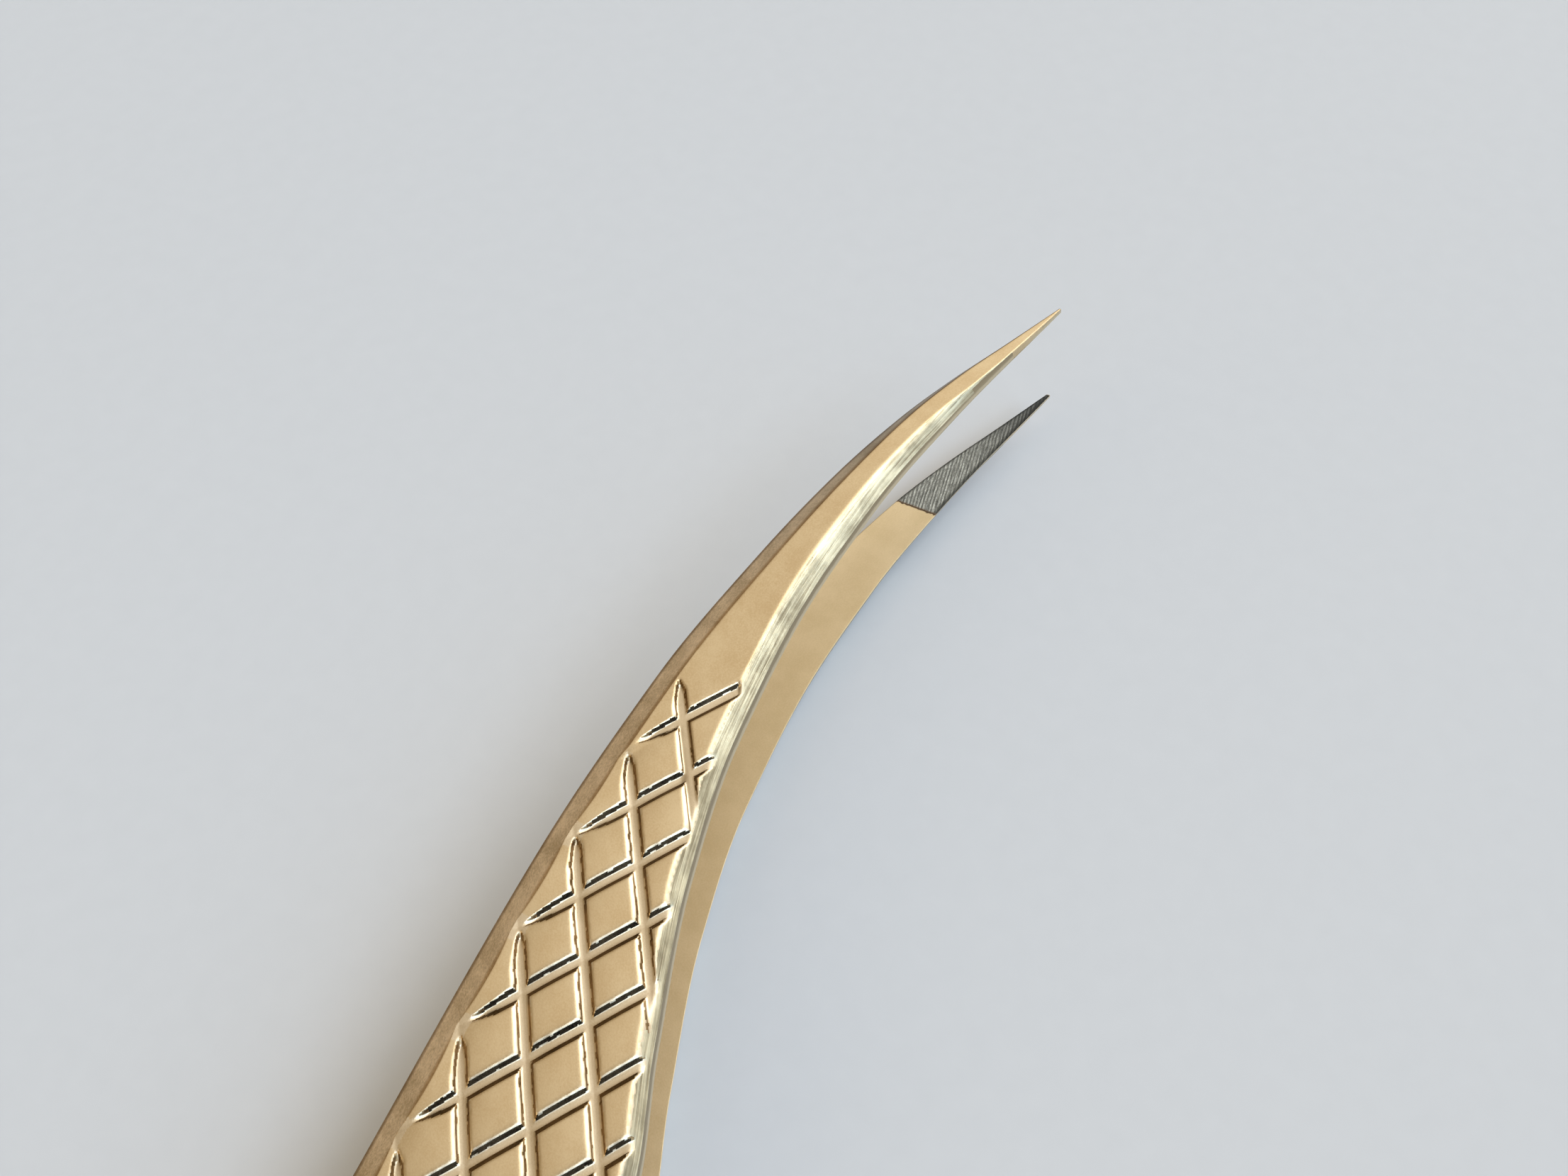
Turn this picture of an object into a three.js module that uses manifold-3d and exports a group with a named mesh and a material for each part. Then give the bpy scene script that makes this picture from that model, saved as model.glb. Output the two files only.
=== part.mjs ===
// Curved fine-point lash tweezers: two mirror-image spring steel arms welded together at the tail.
// Millimetres. +X runs along the handle to the tips, +Y is the convex side of the curved points,
// and the arms close along Z. The tweezers lie on the plane Z = 0 as they would on a table.
// Along an arm, "back" is the distance from the tips.

import * as THREE from 'three';
import { mergeVertices } from 'three/addons/utils/BufferGeometryUtils.js';
import Module from 'manifold-3d';

const wasm = await Module();
wasm.setup();

// Overall
const LENGTH = 120;
const WELD_FRONT = 105;
const FLEX_BACK = 86;
const RUNNING_GAP = 0.1;

// Distance between sections: long where an arm is straight, short where it curves
const STEP_AT_POINT = 0.8;
const STEP_AT_GRIP = 1.5;
const STEP_AT_HANDLE = 3;
const POINT_LENGTH = 14;
const GRIP_LENGTH = 55;
const TAIL_ROUND_LENGTH = 6;

// Plan outline of one arm: [back, Y] for the convex and the concave edge
const CONVEX_EDGE = [
  [0, -2.22], [3, -0.87], [6, 0.5], [9, 1.67], [13, 2.82], [18, 3.86], [25, 4.88],
  [33, 5.26], [48, 4.8], [116, 2.75], [119, 2.35], [120, 1.6],
];
const CONCAVE_EDGE = [
  [0, -2.38], [8, -0.48], [14, 0.53], [20, 0.94], [26, 0.63], [32, -0.46], [38, -2.35],
  [43, -4.1], [49, -4.8], [60, -4.5], [116, -2.75], [119, -2.35], [120, -1.6],
];

// Bow of the arms: [back, height of the inner face over the middle plane]
const HALF_GAP = [
  [0, 2.8], [10, 2.8], [25, 2.61], [45, 2.01], [75, 0.85], [WELD_FRONT, 0.03], [LENGTH, 0.03],
];
// Steel thickness: [back, thickness]
const THICKNESS = [[0, 0.2], [3, 0.36], [8, 0.62], [14, 0.86], [20, 0.95], [LENGTH, 0.95]];

// Ground edges: a steep land at the inner face, then a bevel up to the flat outer face: [back, width]
const LAND_SHARE = 0.45;
const LAND_DRAFT = 0.1;
const LAND_DRAFT_SHARE = 0.05;
const CONVEX_BEVEL = [[0, 0.05], [4, 0.17], [8, 0.38], [13, 0.7], [20, 0.88], [30, 0.96], [LENGTH, 0.96]];
const CONCAVE_BEVEL = [
  [0, 0.02], [4, 0.06], [6, 0.15], [8, 0.35], [11, 0.52], [22, 0.62], [38, 0.52], [LENGTH, 0.5],
];
const CONVEX_BEVEL_SHARE = 0.3;
const CONCAVE_BEVEL_SHARE = 0.22;

// Diamond grip: two families of straight grooves that cross in diamonds
const DIAMOND_SIDE = 2.4;
const DIAMOND_HALF_ANGLE = THREE.MathUtils.degToRad(33.95);
const GRIP_START_BACK = 24.42;
const GRIP_CENTRE_Y = 0.12;
const ROWS_FROM_CENTRE = 3;
const STEEP_GROOVES = 11;
const GROOVE_WIDTH = 0.38;
const GROOVE_DEPTH = 0.17;
const GROOVE_TOOL_HEIGHT = 1.2;
const BEVEL_RUN_OUT = 0.75;
const BEVEL_MARGIN = 0.12;
const GROOVE_SAMPLES = 200;

// Grip coating let into the inner face of each point
const COATING_START = 0.4;
const COATING_LENGTH = 8.9;
const COATING_THICKNESS = 0.12;
const COATING_PROUD = 0.03;
const COATING_GAP = 0.03;
const COATING_EDGE = 0.05;
const COATING_EDGE_SHARE = 0.2;
const POCKET_CLEARANCE = 1;

// Weld bead in a V groove across the tail end
const WELD_HALF_WIDTH = 1.5;
const WELD_V = 0.5;
const WELD_GAP = 0.04;
const WELD_CROWN = 0.1;
const NOTCH_OVERRUN = 2;
const TAIL_STOP = WELD_CROWN;

const STEEL = { color: 0xd8bd8c, roughness: 0.34, metalness: 1 };
const COATING = { color: 0x5c5c5a, roughness: 0.85, metalness: 0.2 };
const WELD = { color: 0xb9a076, roughness: 0.5, metalness: 1 };

// A smooth curve through [x, y] points that never overshoots them.
function curveThrough(points) {
  const slopes = points.slice(1).map(([x, y], i) => (y - points[i][1]) / (x - points[i][0]));
  const tangents = points.map((_, i) => {
    if (i === 0) return slopes[0];
    if (i === points.length - 1) return slopes[i - 1];
    const before = slopes[i - 1];
    const after = slopes[i];
    return before * after <= 0 ? 0 : (2 * before * after) / (before + after);
  });
  return (x) => {
    let i = points.findIndex(([end]) => end >= x) - 1;
    i = Math.max(i === -2 ? points.length - 2 : i, 0);
    const [x0, y0] = points[i];
    const [x1, y1] = points[i + 1];
    const step = x1 - x0;
    const t = THREE.MathUtils.clamp((x - x0) / step, 0, 1);
    const fromStart = (1 + 2 * t) * (1 - t) ** 2 * y0 + t * (1 - t) ** 2 * step * tangents[i];
    return fromStart + t * t * (3 - 2 * t) * y1 - t * t * (1 - t) * step * tangents[i + 1];
  };
}

const convexEdge = curveThrough(CONVEX_EDGE);
const concaveEdge = curveThrough(CONCAVE_EDGE);
const halfGap = curveThrough(HALF_GAP);
const thickness = curveThrough(THICKNESS);
const convexBevelCurve = curveThrough(CONVEX_BEVEL);
const concaveBevelCurve = curveThrough(CONCAVE_BEVEL);

const width = (back) => convexEdge(back) - concaveEdge(back);
const convexBevel = (back) => Math.min(convexBevelCurve(back), CONVEX_BEVEL_SHARE * width(back));
const concaveBevel = (back) => Math.min(concaveBevelCurve(back), CONCAVE_BEVEL_SHARE * width(back));
const landDraft = (back) => Math.min(LAND_DRAFT, LAND_DRAFT_SHARE * width(back));
const outerFace = (back) => halfGap(back) + thickness(back);
const atBack = (back) => LENGTH / 2 - back;

// ---- Solids ----

const MERGE_DISTANCE = 1e-5;

function toManifold(geometry) {
  const bare = geometry.index ? geometry.clone() : geometry;
  bare.deleteAttribute('normal');
  bare.deleteAttribute('uv');
  const merged = mergeVertices(bare, MERGE_DISTANCE);
  const mesh = new wasm.Mesh({
    numProp: 3,
    vertProperties: new Float32Array(merged.attributes.position.array),
    triVerts: new Uint32Array(merged.index.array),
  });
  return new wasm.Manifold(mesh);
}

function toGeometry(solid) {
  const { vertProperties, triVerts } = solid.getMesh();
  const geometry = new THREE.BufferGeometry();
  geometry.setAttribute('position', new THREE.BufferAttribute(new Float32Array(vertProperties), 3));
  geometry.setIndex(new THREE.BufferAttribute(new Uint32Array(triVerts), 1));
  geometry.computeVertexNormals();
  return geometry;
}

// A closed skin through a row of sections, each a ring of [x, y, z] that turns left seen from the tips.
function loft(sections) {
  const ring = sections[0].length;
  const index = [];
  for (let row = 0; row + 1 < sections.length; row++) {
    for (let i = 0; i < ring; i++) {
      const a = row * ring + i;
      const b = row * ring + ((i + 1) % ring);
      index.push(a, a + ring, b, b, a + ring, b + ring);
    }
  }
  const last = (sections.length - 1) * ring;
  for (let i = 1; i + 1 < ring; i++) {
    index.push(0, i, i + 1);
    index.push(last, last + i + 1, last + i);
  }
  const geometry = new THREE.BufferGeometry();
  geometry.setAttribute('position', new THREE.Float32BufferAttribute(sections.flat(2), 3));
  geometry.setIndex(index);
  return geometry;
}

// Distances back from the tips at which an arm gets a section, closer where it curves most.
function stations(from, to) {
  const stepAt = (back) => {
    if (back < POINT_LENGTH || back > LENGTH - TAIL_ROUND_LENGTH) return STEP_AT_POINT;
    return back < GRIP_LENGTH ? STEP_AT_GRIP : STEP_AT_HANDLE;
  };
  const list = [from];
  let back = from;
  while (back < to) {
    const next = back + stepAt(back);
    back = to - next < STEP_AT_POINT / 2 ? to : next;
    list.push(back);
  }
  return list;
}

function armSection(back) {
  const x = atBack(back);
  const inner = halfGap(back);
  const land = inner + LAND_SHARE * thickness(back);
  const outer = outerFace(back);
  const convex = convexEdge(back);
  const concave = concaveEdge(back);
  const draft = landDraft(back);
  return [
    [x, concave, inner],
    [x, convex, inner],
    [x, convex - draft, land],
    [x, convex - draft - convexBevel(back), outer],
    [x, concave + draft + concaveBevel(back), outer],
    [x, concave + draft, land],
  ];
}

const armStretch = (from, to) => toManifold(loft(stations(from, to).map(armSection)));

// ---- Diamond grip ----

// Plan position of the crossing of steep groove i and shallow groove j.
function crossing(i, j) {
  const back = GRIP_START_BACK + DIAMOND_SIDE * Math.cos(DIAMOND_HALF_ANGLE) * (i + j);
  const row = ROWS_FROM_CENTRE + i - j;
  return new THREE.Vector2(back, GRIP_CENTRE_Y + DIAMOND_SIDE * Math.sin(DIAMOND_HALF_ANGLE) * row);
}

// Walks along a groove and keeps the stretch that lies on the outer face.
function clipToFace(start, end) {
  const inside = (p) => {
    const convex = convexEdge(p.x) - landDraft(p.x) - convexBevel(p.x);
    const concave = concaveEdge(p.x) + landDraft(p.x) + concaveBevel(p.x);
    return p.y < convex - BEVEL_MARGIN && p.y > concave - BEVEL_RUN_OUT;
  };
  const kept = [];
  for (let k = 0; k <= GROOVE_SAMPLES; k++) {
    const p = start.clone().lerp(end, k / GROOVE_SAMPLES);
    if (inside(p)) kept.push(p);
  }
  return [kept[0], kept[kept.length - 1]];
}

// A straight cutting bar whose underside runs GROOVE_DEPTH below the outer face.
function grooveBar([start, end]) {
  const a = new THREE.Vector3(atBack(start.x), start.y, outerFace(start.x));
  const b = new THREE.Vector3(atBack(end.x), end.y, outerFace(end.x));
  const along = b.clone().sub(a);
  const bar = new THREE.BoxGeometry(along.length() + GROOVE_WIDTH, GROOVE_WIDTH, GROOVE_TOOL_HEIGHT);
  along.normalize();
  const across = new THREE.Vector3(0, 0, 1).cross(along).normalize();
  const up = along.clone().cross(across);
  const middle = a.add(b).multiplyScalar(0.5);
  middle.addScaledVector(up, GROOVE_TOOL_HEIGHT / 2 - GROOVE_DEPTH);
  bar.applyMatrix4(new THREE.Matrix4().makeBasis(along, across, up).setPosition(middle));
  return toManifold(bar);
}

function gripGrooves() {
  const rows = 2 * ROWS_FROM_CENTRE;
  const lastSteep = STEEP_GROOVES - 1;
  const lastShallow = lastSteep + ROWS_FROM_CENTRE;
  const bars = [];
  for (let i = 0; i <= lastSteep; i++) {
    const end = Math.min(i + rows, lastShallow);
    bars.push(grooveBar(clipToFace(crossing(i, i), crossing(i, end))));
  }
  for (let j = 1; j <= lastShallow; j++) {
    const start = Math.min(j, lastSteep);
    bars.push(grooveBar(clipToFace(crossing(start, j), crossing(Math.max(j - rows, -1), j))));
  }
  return bars.reduce((all, bar) => all.add(bar));
}

// ---- Grip coating ----

// A slab on the inner face of the point, inset from the outline, between two heights off that face.
function coatingSlab(inset, from, to, low, high) {
  const sections = stations(from, to).map((back) => {
    const x = atBack(back);
    const inner = halfGap(back);
    const margin = Math.min(inset, COATING_EDGE_SHARE * width(back));
    const convex = convexEdge(back) - margin;
    const concave = concaveEdge(back) + margin;
    return [
      [x, concave, inner + low],
      [x, convex, inner + low],
      [x, convex, inner + high],
      [x, concave, inner + high],
    ];
  });
  return toManifold(loft(sections));
}

const coatingBed = COATING_THICKNESS - COATING_PROUD + COATING_GAP;
const coatingPocket = coatingSlab(
  COATING_EDGE - COATING_GAP, COATING_START, COATING_LENGTH, -POCKET_CLEARANCE, coatingBed,
);
const coatingSolid = coatingSlab(
  COATING_EDGE, COATING_START + COATING_GAP, COATING_LENGTH - COATING_GAP,
  -COATING_PROUD, COATING_THICKNESS - COATING_PROUD,
);

// ---- Weld ----

// A bar across the tail end with a V front and a slightly crowned back.
function weldBar(grow, crown, halfWidth) {
  const end = -LENGTH / 2;
  const reach = WELD_V + grow;
  const section = new THREE.Shape();
  section.moveTo(end + reach, 0);
  section.lineTo(end + WELD_CROWN, reach - WELD_CROWN);
  section.lineTo(end + WELD_CROWN - crown, (reach - WELD_CROWN) / 2);
  section.lineTo(end + WELD_CROWN - crown, -(reach - WELD_CROWN) / 2);
  section.lineTo(end + WELD_CROWN, WELD_CROWN - reach);
  section.closePath();
  const bar = new THREE.ExtrudeGeometry(section, { depth: 2 * halfWidth, bevelEnabled: false });
  bar.rotateX(Math.PI / 2);
  bar.translate(0, halfWidth, 0);
  return toManifold(bar);
}

const weldNotch = weldBar(WELD_GAP, 2 * WELD_CROWN, WELD_HALF_WIDTH + NOTCH_OVERRUN);
const weldBead = weldBar(0, WELD_CROWN, WELD_HALF_WIDTH);

// ---- Arms ----

const bladeSolid = armStretch(0, FLEX_BACK - RUNNING_GAP / 2).subtract(gripGrooves()).subtract(coatingPocket);
const rootSolid = armStretch(FLEX_BACK + RUNNING_GAP / 2, LENGTH - TAIL_STOP).subtract(weldNotch);

// The same solid on the other side of the middle plane.
function mirrored(geometry) {
  const copy = geometry.clone().scale(1, 1, -1);
  const index = copy.index.array;
  for (let i = 0; i < index.length; i += 3) {
    [index[i], index[i + 1]] = [index[i + 1], index[i]];
  }
  copy.computeVertexNormals();
  return copy;
}

function addMesh(group, name, geometry, finish) {
  const mesh = new THREE.Mesh(geometry, new THREE.MeshStandardMaterial(finish));
  mesh.name = name;
  group.add(mesh);
}

const tweezers = new THREE.Group();
const pieces = [
  ['arm', bladeSolid, STEEL],
  ['arm_root', rootSolid, STEEL],
  ['tip_coating', coatingSolid, COATING],
];
for (const [name, solid, finish] of pieces) {
  const geometry = toGeometry(solid);
  addMesh(tweezers, `upper_${name}`, geometry, finish);
  addMesh(tweezers, `lower_${name}`, mirrored(geometry), finish);
}
addMesh(tweezers, 'tail_weld', toGeometry(weldBead), WELD);

// Lying at rest: the lower arm's bow and the lower edge of the tail both touch Z = 0.
const tailEnd = LENGTH - TAIL_STOP;
const tiltTo = (back) => Math.atan2(outerFace(back) - outerFace(tailEnd), tailEnd - back);
const restTilt = Math.max(...stations(0, FLEX_BACK).map(tiltTo));
tweezers.rotation.y = -restTilt;
tweezers.position.z = outerFace(tailEnd) * Math.cos(restTilt) - atBack(tailEnd) * Math.sin(restTilt);

const object = new THREE.Group();
object.add(tweezers);

export default object;
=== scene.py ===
import math

import bmesh
import bpy
import numpy as np
from mathutils import Matrix, Vector


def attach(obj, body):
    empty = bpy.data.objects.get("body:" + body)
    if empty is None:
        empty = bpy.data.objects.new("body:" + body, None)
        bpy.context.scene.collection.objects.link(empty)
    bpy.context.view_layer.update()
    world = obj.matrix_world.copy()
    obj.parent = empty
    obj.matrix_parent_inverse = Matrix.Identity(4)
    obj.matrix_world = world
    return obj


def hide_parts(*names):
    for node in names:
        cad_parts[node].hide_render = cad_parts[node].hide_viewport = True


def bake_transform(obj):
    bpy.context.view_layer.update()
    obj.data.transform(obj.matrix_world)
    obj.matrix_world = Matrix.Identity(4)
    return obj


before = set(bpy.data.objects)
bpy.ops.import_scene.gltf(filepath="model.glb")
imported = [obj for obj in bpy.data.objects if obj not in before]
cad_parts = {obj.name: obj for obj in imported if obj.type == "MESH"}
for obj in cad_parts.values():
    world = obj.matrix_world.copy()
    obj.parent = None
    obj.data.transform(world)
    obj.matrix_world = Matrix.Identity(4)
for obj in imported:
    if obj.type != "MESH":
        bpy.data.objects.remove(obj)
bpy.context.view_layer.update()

# Curved lash tweezers. Shapes are made in millimetres in the tweezers' own frame: +X runs along the
# handle to the tips, +Y is the convex side, Z = 0 is the middle plane between the arms. "back" is the
# distance from the tips. Every mesh is then laid down on the floor, in metres, in the row frame.
MM = 0.001

LENGTH = 120.0
WELD_FRONT = 105.0
# The steel stops just short of LENGTH, with its inner edge cut back at 45 degrees for the weld
TAIL_END = LENGTH - 0.1
WELD_V = 0.54
# An arm bends about this place
FLEX_BACK = 86.0

# Plan outline of one arm: [back, Y]
CONVEX_EDGE = [
    (0, -2.22), (3, -0.87), (6, 0.5), (9, 1.67), (13, 2.82), (18, 3.86), (25, 4.88),
    (33, 5.26), (48, 4.8), (116, 2.75), (119, 2.35), (120, 1.6),
]
CONCAVE_EDGE = [
    (0, -2.38), (8, -0.48), (14, 0.53), (20, 0.94), (26, 0.63), (32, -0.46), (38, -2.35),
    (43, -4.1), (49, -4.8), (60, -4.5), (116, -2.75), (119, -2.35), (120, -1.6),
]
HALF_GAP = [(0, 2.8), (10, 2.8), (25, 2.61), (45, 2.01), (75, 0.85), (WELD_FRONT, 0.03), (LENGTH, 0.03)]
THICKNESS = [(0, 0.2), (3, 0.36), (8, 0.62), (14, 0.86), (20, 0.95), (LENGTH, 0.95)]

# Sides: a sheared land that leans in by its draft, over this share of the thickness, and at least a
# little of it where the steel is cut back for the weld
LAND_SHARE = 0.45
LAND_LEAST = 0.02
LAND_DRAFT = 0.1
LAND_DRAFT_SHARE = 0.05
# Then a ground bevel, of a width along the arm that is held under a share of the arm's
CONVEX_BEVEL = [(0, 0.05), (4, 0.17), (8, 0.38), (13, 0.7), (20, 0.88), (30, 0.96), (LENGTH, 0.96)]
CONCAVE_BEVEL = [
    (0, 0.02), (4, 0.06), (6, 0.15), (8, 0.35), (11, 0.52), (22, 0.62), (38, 0.52), (LENGTH, 0.5),
]
CONVEX_BEVEL_SHARE = 0.3
CONCAVE_BEVEL_SHARE = 0.22
# Rounding of the edge between bevel and face: half its width, under a share of the bevel or face
CONCAVE_ROUNDING = [(0, 0.26), (16, 0.26), (23, 0.13), (LENGTH, 0.12)]
CONVEX_ROUNDING = 0.05
ROUNDING_SHARE = 0.42

# Diamond grip. Steep grooves are numbered by i and shallow ones by j, both from the tips back
DIAMOND_SIDE = 2.4
DIAMOND_HALF_ANGLE = math.radians(33.95)
STEP_BACK = DIAMOND_SIDE * math.cos(DIAMOND_HALF_ANGLE)
STEP_Y = DIAMOND_SIDE * math.sin(DIAMOND_HALF_ANGLE)
GROOVE_SPACING = DIAMOND_SIDE * math.sin(2 * DIAMOND_HALF_ANGLE)
GRIP_START = 24.42
GRIP_CENTRE_Y = 0.12
ROWS_FROM_CENTRE = 3
ROWS = 2 * ROWS_FROM_CENTRE
FIRST_STEEP = 0
LAST_STEEP = 10
FIRST_SHALLOW = 1
LAST_SHALLOW = LAST_STEEP + ROWS_FROM_CENTRE
GROOVE_DEPTH = 0.19
# Over these distances from the convex bevel the grooves narrow, down to a share of their width, and
# over a share of that stretch their depth runs out
BEVEL_MARGIN = 0.1
STEEP_TAPER = 0.45
SHALLOW_TAPER = 0.9
LEAST_WIDTH = 0.2
GROOVE_RUN_OUT = 0.4
# In groove spacings: a groove's fade past its ends, and its reach beside the first and last middles
GROOVE_FADE = 0.12
GROOVE_REACH = 0.4
# Cross-section of a groove: [distance from its middle, share of the depth]
GROOVE_PROFILE = [
    (0, 1), (0.045, 0.998), (0.085, 0.993), (0.125, 0.985), (0.155, 0.93), (0.19, 0.82), (0.225, 0.32),
    (0.27, 0.21), (0.33, 0.07), (0.38, 0),
]
# The same on the side that faces the tail end, where the wall leans further out
TAIL_SIDE_PROFILE = [
    (0, 1), (0.125, 0.985), (0.155, 0.93), (0.19, 0.72), (0.225, 0.45), (0.27, 0.2), (0.33, 0.05), (0.38, 0),
]
# The same on the steep grooves' other side, which has a crisp edge
CRISP_SIDE_PROFILE = [
    (0, 1), (0.125, 0.985), (0.155, 0.93), (0.19, 0.80), (0.225, 0.45), (0.27, 0.06), (0.33, 0.01), (0.38, 0),
]
# The same on the shallow grooves' side that faces the tips, which leans out under a crisp edge
TIP_SIDE_PROFILE = [
    (0, 1), (0.125, 0.97), (0.155, 0.86), (0.19, 0.72), (0.225, 0.56), (0.27, 0.33), (0.33, 0.04), (0.38, 0),
]
GROOVE_HALF = GROOVE_PROFILE[-1][0]
# Walls are ragged by this much, between two stretches of distance from the middle where it fades
RAGGED = 0.022
RAGGED_STEP = 0.11
RAGGED_FROM = (0.14, 0.2)
RAGGED_TO = (0.26, 0.33)
WALL_SEED = 11
# Lands are crowned: their corners lie this much lower than their middles
LAND_CROWN = 0.11
LAND_STEPS = 14

# Stretch of the face that is machined, and how the blank stands over it before the grip is cut
MACHINED_FRONT = 23.4
MACHINED_REAR = 73.5
MACHINED_RAMP = 1.4
MACHINED_LIFT = 0.3
# The cutter runs on past that stretch, climbing, and out to this reach from the middle line
CUTTER_OVERRUN = 1
CUTTER_CLIMB = 0.1
CUTTER_REACH = 5.6
CUTTER_TOP = 6.0
CUTTER_SPARE = 5

# Stretches of the blank with evenly spaced cross-sections: [from, to, steps]
STATION_SPANS = [
    (0, 3, 24), (3, MACHINED_FRONT, 81), (MACHINED_FRONT, MACHINED_REAR, 167),
    (MACHINED_REAR, 114, 39), (114, TAIL_END, 39),
]
# Points across each part of a cross-section
INNER_POINTS = 15
BEVEL_POINTS = 7
ROUNDING_POINTS = 9
FACE_POINTS = 13

# Grit coating on the inner face of a point, with ridges that run a little askew
COATING_START = 0.02
COATING_LENGTH = 8.9
COATING_PROUD = 0.025
COATING_WRAP = 0.02
COATING_PITCH = 0.15
COATING_TURN = math.radians(10)
COATING_COLUMNS = 96
COATING_SEED = 5
# Its cross-sections stand closer up to this far back
COATING_CLOSE = 1
# Share of the full height at the very tip, and the distance over which it grows
COATING_TIP_SHARE = 0.3
COATING_TIP = 0.8
# Shares of the height that are even, ridged and mottled, and the share that is left along its edges
COATING_EVEN = 0.55
COATING_RIDGED = 0.35
COATING_MOTTLED = 0.25
COATING_EDGE_SHARE = 0.55
COATING_EDGE_COLUMNS = 2
# Its rear edge is ragged, blurred from column to column
REAR_RAGGED = 0.07
REAR_BLUR = [0.1, 0.2, 0.4, 0.2, 0.1]
# It is bedded this deep in the steel
COATING_BED = 0.01
# How far its sides stand inside the steel's edges, and how far in it wraps: [mm, share of the width]
COATING_SIDE = (0.004, 0.02)
COATING_LIP = (0.012, 0.06)

# Weld bead: half its length, its depth in the V, its crown, and the pitch and lag of its ripples
BEAD_HALF = 1.5
BEAD_DEPTH = 0.48
BEAD_CROWN = 0.1
BEAD_PITCH = 0.3
BEAD_LAG = 0.12
BEAD_RIPPLE_SHARE = 0.25
BEAD_SHOULDER = 0.1
BEAD_SHOULDER_HALF = 0.34
BEAD_END_SHARE = 0.04


def curve_through(points):
    """A smooth curve through (x, y) points that never overshoots them."""
    xs, ys = np.array(points, float).T
    steps = np.diff(xs)
    slopes = np.diff(ys) / steps
    before, after = slopes[:-1], slopes[1:]
    turning = before * after <= 0
    middle = np.where(turning, 0, 2 * before * after / np.where(turning, 1, before + after))
    tangents = np.concatenate([slopes[:1], middle, slopes[-1:]])

    def curve(x):
        i = np.clip(np.searchsorted(xs, x) - 1, 0, len(steps) - 1)
        t = np.clip((x - xs[i]) / steps[i], 0, 1)
        start = (1 + 2 * t) * (1 - t) ** 2 * ys[i] + t * (1 - t) ** 2 * steps[i] * tangents[i]
        return start + t * t * (3 - 2 * t) * ys[i + 1] - t * t * (1 - t) * steps[i] * tangents[i + 1]

    return curve


convex_edge = curve_through(CONVEX_EDGE)
concave_edge = curve_through(CONCAVE_EDGE)
half_gap = curve_through(HALF_GAP)
thickness = curve_through(THICKNESS)
convex_bevel_curve = curve_through(CONVEX_BEVEL)
concave_bevel_curve = curve_through(CONCAVE_BEVEL)
concave_rounding = curve_through(CONCAVE_ROUNDING)


def width(back):
    return convex_edge(back) - concave_edge(back)


def convex_bevel(back):
    return np.minimum(convex_bevel_curve(back), CONVEX_BEVEL_SHARE * width(back))


def concave_bevel(back):
    return np.minimum(concave_bevel_curve(back), CONCAVE_BEVEL_SHARE * width(back))


def land_draft(back):
    return np.minimum(LAND_DRAFT, LAND_DRAFT_SHARE * width(back))


def convex_foot(back):
    """Y where the convex bevel meets its land."""
    return convex_edge(back) - land_draft(back)


def concave_foot(back):
    """Y where the concave bevel meets its land."""
    return concave_edge(back) + land_draft(back)


def land_height(back):
    return half_gap(back) + LAND_SHARE * thickness(back)


def outer_face(back):
    return half_gap(back) + thickness(back)


def smooth(edge0, edge1, x):
    """0 up to one edge, 1 from the other, and a smooth step between them."""
    t = np.clip((x - edge0) / (edge1 - edge0), 0, 1)
    return t * t * (3 - 2 * t)


# ---- Laying the tweezers down ----

# They lie on the bow of the lower arm and on their tail end
TILT_STATIONS = np.linspace(0, FLEX_BACK, 200)
TILT_RISES = outer_face(TILT_STATIONS) - outer_face(TAIL_END)
REST_TILT = np.max(np.arctan2(TILT_RISES, TAIL_END - TILT_STATIONS))
COS_TILT, SIN_TILT = math.cos(REST_TILT), math.sin(REST_TILT)
REST_HEIGHT = outer_face(TAIL_END) * COS_TILT - (LENGTH / 2 - TAIL_END) * SIN_TILT
LAY_DOWN = np.array([[COS_TILT, 0, -SIN_TILT], [0, 1, 0], [SIN_TILT, 0, COS_TILT]])


def turned(direction):
    """A direction in the tweezers' frame, taken to the row frame."""
    return LAY_DOWN @ np.array(direction, float)


def laid(points):
    """Points in the tweezers' frame in mm, taken to the row frame in m."""
    return (np.asarray(points) @ LAY_DOWN.T + [0, 0, REST_HEIGHT]) * MM


# ---- Mesh helpers ----

def make_object(name, points, faces):
    mesh = bpy.data.meshes.new(name)
    mesh.from_pydata([tuple(p) for p in points], [], [tuple(f) for f in faces])
    mesh.update()
    obj = bpy.data.objects.new(name, mesh)
    bpy.context.scene.collection.objects.link(obj)
    return obj


def loft_faces(rows, ring):
    """Faces of a closed skin through rows of ring points, with a cap at each end."""
    faces = []
    for row in range(rows - 1):
        for i in range(ring):
            a, b = row * ring + i, row * ring + (i + 1) % ring
            faces.append((a, b, b + ring, a + ring))
    faces.append(tuple(reversed(range(ring))))
    faces.append(tuple(range((rows - 1) * ring, rows * ring)))
    return faces


def face_outwards(mesh):
    work = bmesh.new()
    work.from_mesh(mesh)
    bmesh.ops.recalc_face_normals(work, faces=work.faces)
    work.to_mesh(mesh)
    work.free()


def read(items, name, size, kind=np.float32):
    """One property of all of a mesh's vertices, loops or polygons, size numbers each."""
    values = np.empty(len(items) * size, kind)
    items.foreach_get(name, values)
    return values.reshape(-1, size) if size > 1 else values


def store_vectors(mesh, name, vectors):
    """Keeps a vector on each vertex, for the materials."""
    attribute = mesh.attributes.new(name, "FLOAT_VECTOR", "POINT")
    attribute.data.foreach_set("vector", vectors.astype(np.float32).ravel())


# ---- One arm's blank: everything but the grooves ----

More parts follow.
